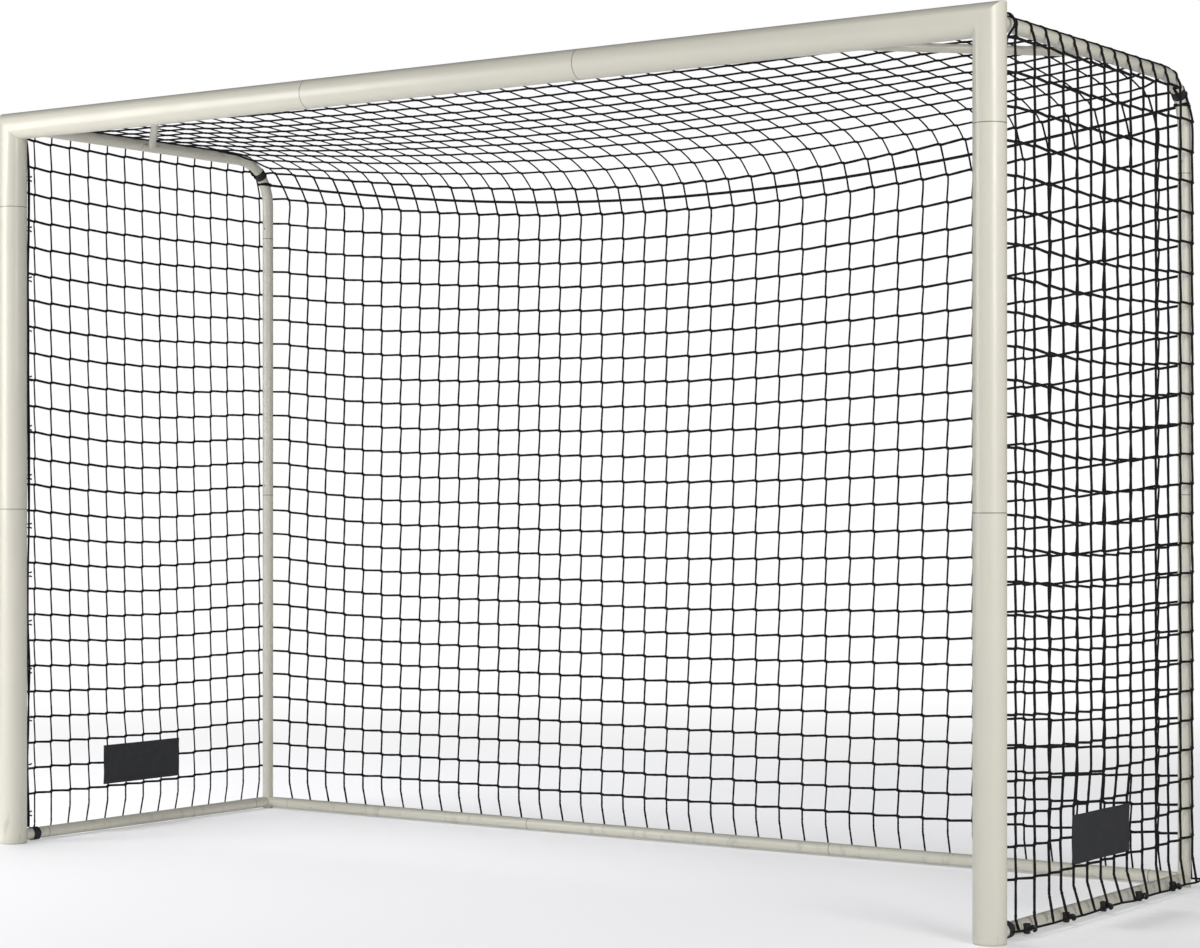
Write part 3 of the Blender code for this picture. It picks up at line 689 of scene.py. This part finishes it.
def grid_cords(grid, radii, bottom=None):
    """Row strands, column strands and knots of a grid. Its first and last columns have no strand of their own."""
    rows, columns = len(grid), len(grid[0])
    strands, loops = [], []
    for row in range(rows):
        ways = [direction(grid, row, column, 1, 0) for column in range(columns)]
        strands.append(strand(grid[row], ways, radii[0], BACK_ROW_TILT))
    for column in range(1, columns - 1):
        knots = [grid[row][column] for row in range(rows)]
        ways = [direction(grid, row, column, 0, 1) for row in range(rows)]
        if bottom:
            knots = bottom(knots[0]) + knots
            ways = [ways[0]] * (len(knots) - rows) + ways
        strands.append(strand(knots, ways, radii[1], BACK_COLUMN_TILT, len(knots) - rows))
        for row in range(rows):
            along, up = direction(grid, row, column, 0, 1), direction(grid, row, column, 1, 0)
            loops.append(knot_loop(grid[row][column], along, up))
    return strands, loops


def net_piece(name, strands, loops):
    """One panel: its strands, and its knots as a second piece beside it."""
    panel = cords(name, strands, "twine")
    cords(name + "_knots", loops, "twine", cyclic=True)
    return panel


def flare(point, out, reach, kink_z):
    """The ends of a column below its last row: straight down, a kink, then out by reach to the border cord."""
    above, kink = point.copy(), point.copy()
    above.z, kink.z = kink_z + 0.008, kink_z
    end = point + out * reach
    end.z = BORDER_Z
    below = kink.lerp(end, 0.12)
    return [shaken(end), below, kink, above]


def make_back_and_roof():
    """The back panel and the roof, one net that hangs over the frame from the crossbar to the ground."""
    columns = [FIRST_BACK_COLUMN + BACK_MESH * index for index in range(BACK_COLUMNS)]
    grid = []
    for row in range(ROWS):
        line = [on_tube(-1, row, edge_turn(row))]
        line += [shaken(back_point(x, row)) for x in columns]
        line.append(on_tube(1, row, edge_turn(row)))
        grid.append(line)
    radii = (BACK_ROW_RADIUS, BACK_COLUMN_RADIUS)
    back, back_knots = grid_cords(grid[:SIDE_ROWS], radii, lambda knot: flare(knot, Vector((0, 1, 0)), FLARE, KINK_Z))
    roof_grid = grid[SIDE_ROWS - 1:]
    front = [Vector((line.x, EDGE_CORD_Y, BAR_Z + NET_GAP)) for line in roof_grid[-1]]
    roof, roof_knots = grid_cords(roof_grid, (ROOF_ROW_RADIUS, ROOF_COLUMN_RADIUS))
    del roof[0]
    for column in range(1, len(front) - 1):
        last = roof_grid[-1][column]
        roof.append([(last, ROOF_COLUMN_RADIUS), (front[column], ROOF_COLUMN_RADIUS)])
    back_net = net_piece("back_net", back, back_knots)
    roof_net = net_piece("roof_net", roof, roof_knots)
    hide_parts("net_back")
    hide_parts("net_roof")


def side_knot(side, row, column):
    """A knot of the side net."""
    height = side_row_height(row) - side_row_sag(row, column)
    return shaken(Vector((side * (HALF_WIDTH + side_gap(side, row, column)), side_column_place(column), height)))


def top_row_end(side):
    """The end of the top side row: along the inner side of the bend, to the strap."""
    points = []
    for turn, gap in ((63, NET_GAP), (54, NET_GAP), (46, THIN_RADIUS)):
        angle = math.radians(turn)
        out = Vector((0, math.cos(angle), math.sin(angle)))
        points.append(Vector((side * (HALF_WIDTH + 0.006), BEND_Y, BEND_Z)) + out * (BEND_RADIUS - gap))
    return points


def make_side_net(side):
    """Rows from the post's edge cord to the rear corner; columns from the ground over the side tube."""
    tag = tag_of(side)
    out = Vector((side, 0, 0))
    grid = []
    for row in range(SIDE_ROWS):
        start = Vector((side * (HALF_WIDTH + 0.002), EDGE_CORD_Y, side_row_height(row) + 0.002))
        if row == SIDE_ROWS - 1:
            line = [start] + [side_knot(side, row, column) for column in range(SIDE_COLUMNS - 1)] + top_row_end(side)
        else:
            line = [start] + [side_knot(side, row, column) for column in range(SIDE_COLUMNS)]
            line += [on_tube(side, row, 35), on_tube(side, row, edge_turn(row))]
        grid.append(line)
    strands, loops = [], []
    for line in grid:
        strands.append(strand(line, [Vector((0, 0, 1))], SIDE_ROW_RADIUS[side], SIDE_ROW_TILT, 1))
    for column in range(SIDE_COLUMNS):
        rows = SIDE_ROWS - 1 if column == SIDE_COLUMNS - 1 else SIDE_ROWS
        knots = [grid[row][column + 1] for row in range(rows)]
        over = ROWS - 1 - column
        wrap = [on_tube(side, over, turn) for turn in range(0, 91, 18)]
        kink = FRONT_KINK_Z if column < 2 else KINK_Z
        foot = flare(knots[0], out, border_gap(column) - side_gap(side, 0, column), kink)
        radius = SIDE_COLUMN_RADIUS[side]
        strands.append(strand(foot + knots + wrap[:1], [Vector((0, 1, 0))], radius, SIDE_COLUMN_TILT, len(foot)))
        strands.append([(point, radius) for point in wrap])
        for row in range(rows):
            loops.append(knot_loop(grid[row][column + 1], Vector((0, 1, 0)), Vector((0, 0, 1))))
        loops.append(knot_loop(wrap[-1], Vector((0, 1, 0)), Vector((side, 0, 0))))
    corner = []
    for row in range(ROWS):
        corner.append(on_tube(side, row, edge_turn(row)))
        if row < SIDE_ROWS - 1:
            loops.append(knot_loop(corner[-1], Vector((0.7 * side, -0.7, 0)), Vector((0, 0, 1))))
    foot = corner[0] + Vector((0, 0.012, 0))
    foot.z = BORDER_Z
    front = Vector((side * HALF_WIDTH, EDGE_CORD_Y, BAR_Z + NET_GAP))
    strands.append(strand([foot] + corner + [front], [Vector((side, 0, 0))], BACK_COLUMN_RADIUS, 0.0006))
    piece = net_piece("side_net_" + tag, strands, loops)
    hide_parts("net_" + tag)


# ---------------------------------------------------------------- border cords, clips and hooks


def wavy(knots, radius, size, shares=(0.2, 0.4, 0.6, 0.8)):
    """A cord through knots that wanders by up to size."""
    points = [point if index in (0, len(knots) - 1) else shaken(point, size) for index, point in enumerate(knots)]
    return [(point, radius) for _, _, point in spline_points(points, shares)]


def clip_heights():
    return [CLIP_FIRST + CLIP_PITCH * index + CLIP_SPREAD * index**2 for index in range(CLIP_COUNT)]


def make_border_cords():
    """One cord round the foot of the net, one up each post and over the side tube, one along the crossbar."""
    x, y = HALF_WIDTH + NET_GAP + FLARE, REAR_Y + NET_GAP + FLARE
    lines = []
    steps = 28
    ground = [Vector((-HALF_WIDTH, FRONT_Y + FRONT_RADIUS + 0.006, BORDER_Z))]
    ground += [
        Vector((-HALF_WIDTH - border_gap(column), side_column_place(column), BORDER_Z))
        for column in range(SIDE_COLUMNS)
    ]
    ground.append(Vector((-x + 0.008, y - 0.008, BORDER_Z)))
    ground += [Vector((-x + 0.03 + (2 * x - 0.06) * index / steps, y, BORDER_Z)) for index in range(steps + 1)]
    ground.append(Vector((x - 0.008, y - 0.008, BORDER_Z)))
    ground += [
        Vector((HALF_WIDTH + border_gap(column), side_column_place(column), BORDER_Z))
        for column in reversed(range(SIDE_COLUMNS))
    ]
    ground.append(Vector((HALF_WIDTH, FRONT_Y + FRONT_RADIUS + 0.006, BORDER_Z)))
    lines.append(wavy(ground, BORDER_RADIUS, 0.0022))
    for side in (-1, 1):
        for strand_shift in (-0.0022, 0.0026):
            post = []
            for height in [0.040] + clip_heights():
                post.append(Vector((side * HALF_WIDTH + strand_shift, EDGE_CORD_Y, height)))
            loop = [
                Vector((side * (HALF_WIDTH + 0.010), EDGE_CORD_Y + 0.004, BAR_Z - 0.045)),
                Vector((side * (HALF_WIDTH + 0.027), EDGE_CORD_Y + 0.008, BAR_Z - 0.006)),
                Vector((side * (HALF_WIDTH + 0.020), EDGE_CORD_Y + 0.007, BAR_Z + 0.018)),
                Vector((side * (HALF_WIDTH + 0.001), EDGE_CORD_Y + 0.002, BAR_Z + 0.0215)),
            ]
            lines.append(wavy(post + loop, 2.5, 0.0030))
    bar = [Vector((HALF_WIDTH * (2 * index / 44 - 1), EDGE_CORD_Y, BAR_Z + NET_GAP)) for index in range(45)]
    lines.append(wavy(bar, 2.4, 0.0016))
    cords("border_cords", lines, "twine", sides=8)


def box_at(work, middle, size):
    made = bmesh.ops.create_cube(work, size=1.0)["verts"]
    bmesh.ops.scale(work, vec=size, verts=made)
    bmesh.ops.translate(work, vec=middle, verts=made)
    return made


def make_clips():
    """Net clips: a foot on the back of the post or bar, and two prongs that hold the edge cord."""
    feet = bmesh.new()
    prongs = []
    for side in (-1, 1):
        x = side * HALF_WIDTH
        for height in clip_heights():
            box_at(feet, (x, FRONT_Y + FRONT_RADIUS + 0.001, height), (0.010, 0.005, 0.022))
            for shift in (-PRONG_GAP / 2, PRONG_GAP / 2):
                base = Vector((x, FRONT_Y + FRONT_RADIUS, height + shift))
                tip = Vector((x, FRONT_Y + CLIP_REACH, height + shift))
                lip = Vector((0.0, 0.0, math.copysign(0.002, shift)))
                prongs.append([(base, PRONG_RADIUS), ((base + tip) / 2, PRONG_RADIUS * 0.9),
                               (tip - Vector((0, 0.004, 0)), PRONG_RADIUS), (tip + lip, PRONG_RADIUS * 1.15)])
    half = HALF_WIDTH - 0.12
    angle = math.radians(24)
    out = Vector((0, math.cos(angle), math.sin(angle)))
    for index in range(BAR_CLIPS):
        x = half * (2 * index / (BAR_CLIPS - 1) - 1)
        middle = Vector((x, FRONT_Y, BAR_Z)) + out * (FRONT_RADIUS + 0.001)
        box_at(feet, middle, (0.022, 0.006, 0.010))
        for shift in (-PRONG_GAP / 2, PRONG_GAP / 2):
            base = Vector((x + shift, FRONT_Y, BAR_Z)) + out * FRONT_RADIUS
            tip = Vector((x + shift, EDGE_CORD_Y + 0.007, BAR_Z + NET_GAP + 0.001))
            prongs.append([(base, PRONG_RADIUS), (tip, PRONG_RADIUS)])
    solid("clip_feet", feet, "black_plastic", 0.0012)
    cords("clip_prongs", prongs, "black_plastic", sides=8)


def hook_places():
    """Where a hook stands: a point on the ground tube's axis and the way out of the goal."""
    for side in (-1, 1):
        for index in range(HOOKS):
            yield Vector((side * HALF_WIDTH, FRONT_Y + HOOK_FIRST + HOOK_PITCH * index, 0)), Vector((side, 0, 0))
    for index in range(REAR_HOOKS):
        x = (HALF_WIDTH - 0.13) * (2 * index / (REAR_HOOKS - 1) - 1)
        yield Vector((x, REAR_Y, 0)), Vector((0, 1, 0))


def make_hooks():
    """Ground hooks: a wedge screwed to the tube's outer side, and a curl that holds the border cord."""
    feet = bmesh.new()
    curls = []
    for place, out in hook_places():
        along = Vector((-out.y, out.x, 0))
        shift = Vector((0, -1, 0)) if out.x else Vector((-1, 0, 0))
        middle = place + out * (THIN_RADIUS + 0.0050) + shift * 0.009 + Vector((0, 0, 0.0175))
        size = [0.016 * abs(along[axis]) + 0.014 * abs(out[axis]) + 0.024 * (axis == 2) for axis in range(3)]
        made = box_at(feet, middle, size)
        for vert in made:
            if vert.co.z < middle.z:
                vert.co -= (vert.co - middle).project(along) * 0.3
        ring = []
        hub = place + out * (NET_GAP + FLARE - 0.004) - shift * 0.002
        hub.z = BORDER_Z
        for step in range(13):
            angle = math.radians(205 - 27 * step)
            turn = out * math.cos(angle) + Vector((0, 0, math.sin(angle)))
            ring.append((hub + turn * 0.0052 + along * 0.0006 * (step - 6), 3.8 if step < 12 else 2.6))
        start = middle + out * 0.003
        curls.append([(start, 3.6)] + ring)
    solid("hook_feet", feet, "black_plastic", 0.0025)
    cords("hook_curls", curls, "black_plastic", sides=8)


# ---------------------------------------------------------------- rope, straps, patches and leaf springs


def make_rope():
    """The tension rope from upright to upright, just inside the net, and its turns round each upright."""
    path = []
    for index in range(ROPE_POINTS):
        path.append((rope_point(ROPE_SPAN * (2 * index / (ROPE_POINTS - 1) - 1)), ROPE_RADIUS * 1000))
    rope = cords("tension_rope_braid", [path], "rope", sides=10)
    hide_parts("tension_rope")
    turns = []
    out = Vector((0, math.cos(tie_angle()), math.sin(tie_angle())))
    for side in (-1, 1):
        middle = Vector((side * HALF_WIDTH, BEND_Y, BEND_Z + 0.003)) + out * BEND_RADIUS
        ring = []
        for step in range(29):
            turn = math.tau * step / 14
            flat = Vector((side * math.cos(turn), math.sin(turn) / out.y, 0))
            rise = Vector((0, 0, 0.0045 * (step / 14 - 1)))
            ring.append((middle + flat * (THIN_RADIUS + 0.0026) + rise, 2.6))
        turns.append(ring)
    ties = cords("rope_ties", turns, "rope", sides=8)


def make_strap(node, out):
    """A hook-and-loop strap: a band that laps over itself, with the free end standing a little proud."""
    middle = centre(node)
    along = Vector((0, 1, -1)).normalized() if node.startswith("top") else Vector((0, 1, 0))
    out = (out - along * out.dot(along)).normalized()
    side = along.cross(out)
    steps, turns = 40, 1.22
    base = THIN_RADIUS + 0.0010
    work = bmesh.new()
    rails = []
    for step in range(steps + 1):
        share = step / steps
        angle = math.tau * turns * share
        lift = 0.0012 * smoothstep(0.80, 0.86, share) + 0.0005 * smoothstep(0.95, 1.0, share)
        reach = out * math.cos(angle) + side * math.sin(angle)
        half = 0.0125 - 0.0016 * math.sin(angle * 1.5) ** 2
        point = middle + reach * (base + lift)
        rails.append([work.verts.new(point + along * half * across) for across in (-1, -0.5, 0, 0.5, 1)])
    for one, two in zip(rails, rails[1:]):
        for index in range(4):
            work.faces.new((one[index], one[index + 1], two[index + 1], two[index]))
    band = solid(node + "_band", work, "strap")
    wall = band.modifiers.new("wall", "SOLIDIFY")
    wall.thickness = 0.0011
    wall.offset = 1.0
    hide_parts(node)


def make_patch(side):
    """A blank cloth patch with a stitched hem, on the face of the side net that its solid lies on."""
    tag = tag_of(side)
    node = "label_patch_" + tag
    low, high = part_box(node)
    width, height = high[1] - low[1], high[2] - low[2]
    x = (low[0] + high[0]) / 2
    work = bmesh.new()
    bmesh.ops.create_grid(work, x_segments=64, y_segments=24, size=0.5)
    for vert in work.verts:
        across, up = vert.co.x, vert.co.y
        edge = min(0.5 - abs(across), (0.5 - abs(up)) * height / width)
        ripple = 0.0011 * math.sin(9 * across + 1.3 * side) * math.cos(5 * up)
        ripple += 0.0006 * math.sin(31 * across + 9 * up)
        hem = 0.0007 * (smoothstep(0.0, 0.006, edge) - smoothstep(0.020, 0.030, edge))
        vert.co = (x + side * 0.0008 + ripple + hem, low[1] + (across + 0.5) * width,
                   low[2] + (up + 0.5) * height)
    patch = solid("patch_" + tag, work, "patch")
    wall = patch.modifiers.new("wall", "SOLIDIFY")
    wall.thickness = 0.0011
    wall.offset = 0.0
    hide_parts(node)
    stitches = []
    inset, pitch, face = 0.0065, 0.0052, 0.0018
    corners = [(low[1] + inset, low[2] + inset), (high[1] - inset, low[2] + inset),
               (high[1] - inset, high[2] - inset), (low[1] + inset, high[2] - inset)]
    for first, second in zip(corners, corners[1:] + corners[:1]):
        start, end = Vector((0, *first)), Vector((0, *second))
        run = (end - start).length
        for index in range(int(run / pitch)):
            one = start.lerp(end, (index * pitch + 0.0008) / run)
            two = start.lerp(end, (index * pitch + 0.0042) / run)
            top, sunk = Vector((x + face, 0, 0)), Vector((0.0008, 0, 0))
            stitches.append([(one + top - sunk, 0.35), ((one + two) / 2 + top, 0.45), (two + top - sunk, 0.35)])
    hem_stitches = cords("patch_stitches_" + tag, stitches, "thread")


def make_leaf_spring(node):
    """The V strip behind a snap button, built in one fixed shape. On the real strip one leg goes in with the button,
    the other stays on the tube's far wall.
    """
    low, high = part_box(node)
    half = LEAF_THICKNESS / 2
    near, far, top = low[1] + half, high[1] - half, high[2]
    line = [(near, top), (near + 0.0008, top - 0.016), (far - 0.0169, top - 0.0295), (far - 0.0119, top - 0.032)]
    line += [(far - 0.0064, top - 0.0295), (far - 0.0011, top - 0.016), (far, top)]
    line = [Vector((0, *point)) for point in line]
    work = bmesh.new()
    rings = []
    for index, point in enumerate(line):
        along = line[min(index + 1, len(line) - 1)] - line[max(index - 1, 0)]
        face = along.normalized().cross(Vector((1, 0, 0))) * half
        corners = ((low[0], face), (high[0], face), (high[0], -face), (low[0], -face))
        rings.append([work.verts.new(Vector((x, 0, 0)) + point + shift) for x, shift in corners])
    for ring, following in zip(rings, rings[1:]):
        for edge in range(4):
            work.faces.new((ring[edge], ring[edge - 1], following[edge - 1], following[edge]))
    work.faces.new(rings[0])
    work.faces.new(rings[-1])
    spring = solid("leaf" + node.removeprefix("button"), work, "zinc", angle=60, rides=False)
    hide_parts(node)
    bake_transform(spring)


# ---------------------------------------------------------------- studio


def make_camera():
    data = bpy.data.cameras.new("camera")
    data.sensor_width = 36
    data.lens = 82.645
    data.shift_x = 0.0125
    data.shift_y = 0.01833
    camera = bpy.data.objects.new("camera", data)
    camera.location = (4.2947, -6.0158, 0.9871)
    camera.rotation_euler = (math.pi / 2, 0, 0.61173)
    bpy.context.scene.collection.objects.link(camera)
    bpy.context.scene.camera = camera
    bpy.context.scene.view_settings.view_transform = "Standard"


def make_floor():
    """A pale floor that turns to the white of the backdrop well away from the goal."""
    work = bmesh.new()
    bmesh.ops.create_circle(work, cap_ends=True, segments=96, radius=40)
    mesh = bpy.data.meshes.new("floor")
    work.to_mesh(mesh)
    work.free()
    floor = bpy.data.objects.new("floor", mesh)
    bpy.context.scene.collection.objects.link(floor)
    material = bpy.data.materials.new("floor")
    material.use_nodes = True
    nodes, links = material.node_tree.nodes, material.node_tree.links
    shader = nodes["Principled BSDF"]
    shader.inputs["Base Color"].default_value = (0.80, 0.80, 0.82, 1)
    shader.inputs["Roughness"].default_value = 0.9
    shader.inputs["Specular IOR Level"].default_value = 0.1
    glow = nodes.new("ShaderNodeEmission")
    glow.inputs["Color"].default_value = (1, 1, 1, 1)
    place = nodes.new("ShaderNodeTexCoord")
    far = nodes.new("ShaderNodeVectorMath")
    far.operation = "LENGTH"
    fade = nodes.new("ShaderNodeMapRange")
    fade.interpolation_type = "SMOOTHSTEP"
    fade.inputs["From Min"].default_value = 1.0
    fade.inputs["From Max"].default_value = 6.5
    fade.inputs["To Min"].default_value = 0.31
    mix = nodes.new("ShaderNodeMixShader")
    links.new(place.outputs["Object"], far.inputs[0])
    links.new(far.outputs["Value"], fade.inputs["Value"])
    path = nodes.new("ShaderNodeLightPath")
    seen = nodes.new("ShaderNodeMapRange")
    seen.inputs["To Min"].default_value = 0.18
    glowing = nodes.new("ShaderNodeMath")
    glowing.operation = "MULTIPLY"
    links.new(path.outputs["Is Camera Ray"], seen.inputs["Value"])
    links.new(fade.outputs["Result"], glowing.inputs[0])
    links.new(seen.outputs["Result"], glowing.inputs[1])
    links.new(glowing.outputs["Value"], mix.inputs["Fac"])
    links.new(shader.outputs["BSDF"], mix.inputs[1])
    links.new(glow.outputs["Emission"], mix.inputs[2])
    links.new(mix.outputs["Shader"], nodes["Material Output"].inputs["Surface"])
    mesh.materials.append(material)
    return floor


def make_world():
    """White to the camera; to the surfaces, a grey studio that is lighter on the camera's side."""
    world = bpy.data.worlds.new("studio")
    bpy.context.scene.world = world
    world.use_nodes = True
    nodes, links = world.node_tree.nodes, world.node_tree.links
    seen = nodes["Background"]
    seen.inputs["Color"].default_value = (1, 1, 1, 1)
    seen.inputs["Strength"].default_value = 1.0
    lit = nodes.new("ShaderNodeBackground")
    lit.inputs["Color"].default_value = (0.93, 0.95, 1.0, 1)
    place = nodes.new("ShaderNodeTexCoord")
    facing = nodes.new("ShaderNodeVectorMath")
    facing.operation = "DOT_PRODUCT"
    facing.inputs[1].default_value = (0.32, -0.94, -0.10)
    level = nodes.new("ShaderNodeMapRange")
    for name, value in (("From Min", -0.5), ("From Max", 1.0), ("To Min", 0.04), ("To Max", 0.61)):
        level.inputs[name].default_value = value
    links.new(place.outputs["Generated"], facing.inputs[0])
    links.new(facing.outputs["Value"], level.inputs["Value"])
    links.new(level.outputs["Result"], lit.inputs["Strength"])
    path = nodes.new("ShaderNodeLightPath")
    mix = nodes.new("ShaderNodeMixShader")
    links.new(path.outputs["Is Camera Ray"], mix.inputs["Fac"])
    links.new(lit.outputs["Background"], mix.inputs[1])
    links.new(seen.outputs["Background"], mix.inputs[2])
    links.new(mix.outputs["Shader"], nodes["World Output"].inputs["Surface"])


def make_light(name, place, target, size, power, colour=(1, 1, 1)):
    data = bpy.data.lights.new(name, "AREA")
    data.shape = "RECTANGLE"
    data.size, data.size_y = size
    data.energy = power
    data.color = colour
    light = bpy.data.objects.new(name, data)
    light.location = place
    light.visible_camera = False
    light.rotation_euler = (Vector(target) - Vector(place)).to_track_quat("-Z", "Y").to_euler()
    bpy.context.scene.collection.objects.link(light)
    return light


def make_studio():
    """Key from the left front, a second light from the right, and one overhead that falls on the floor alone."""
    make_camera()
    floor = make_floor()
    make_world()
    make_light("key", (-3.2, -3.2, 1.9), (-0.8, 0, 1.1), (1.6, 2.4), 88, (1.0, 0.99, 0.96))
    make_light("side", (5.0, -2.5, 2.6), (0.8, 0, 1.0), (1.5, 2.5), 116, (1.0, 0.99, 0.96))
    overhead = make_light("overhead", (-2.7, 0.3, 5.5), (-1.4, 0.2, 0), (2.6, 2.2), 290)
    lit = bpy.data.collections.new("lit_by_overhead")
    lit.objects.link(floor)
    overhead.light_linking.receiver_collection = lit


FINISHES = make_finishes()
make_studio()
finish_nodes()
make_rope()
make_back_and_roof()
for side in (-1, 1):
    make_side_net(side)
    make_patch(side)
    for level in ("top", "ground"):
        make_strap(f"{level}_strap_{tag_of(side)}", Vector((-side, -0.6, 0.4)))
make_border_cords()
make_clips()
make_hooks()
for level in ("upper", "lower"):
    for tag in ("left", "right"):
        make_leaf_spring(f"button_spring_{level}_{tag}")
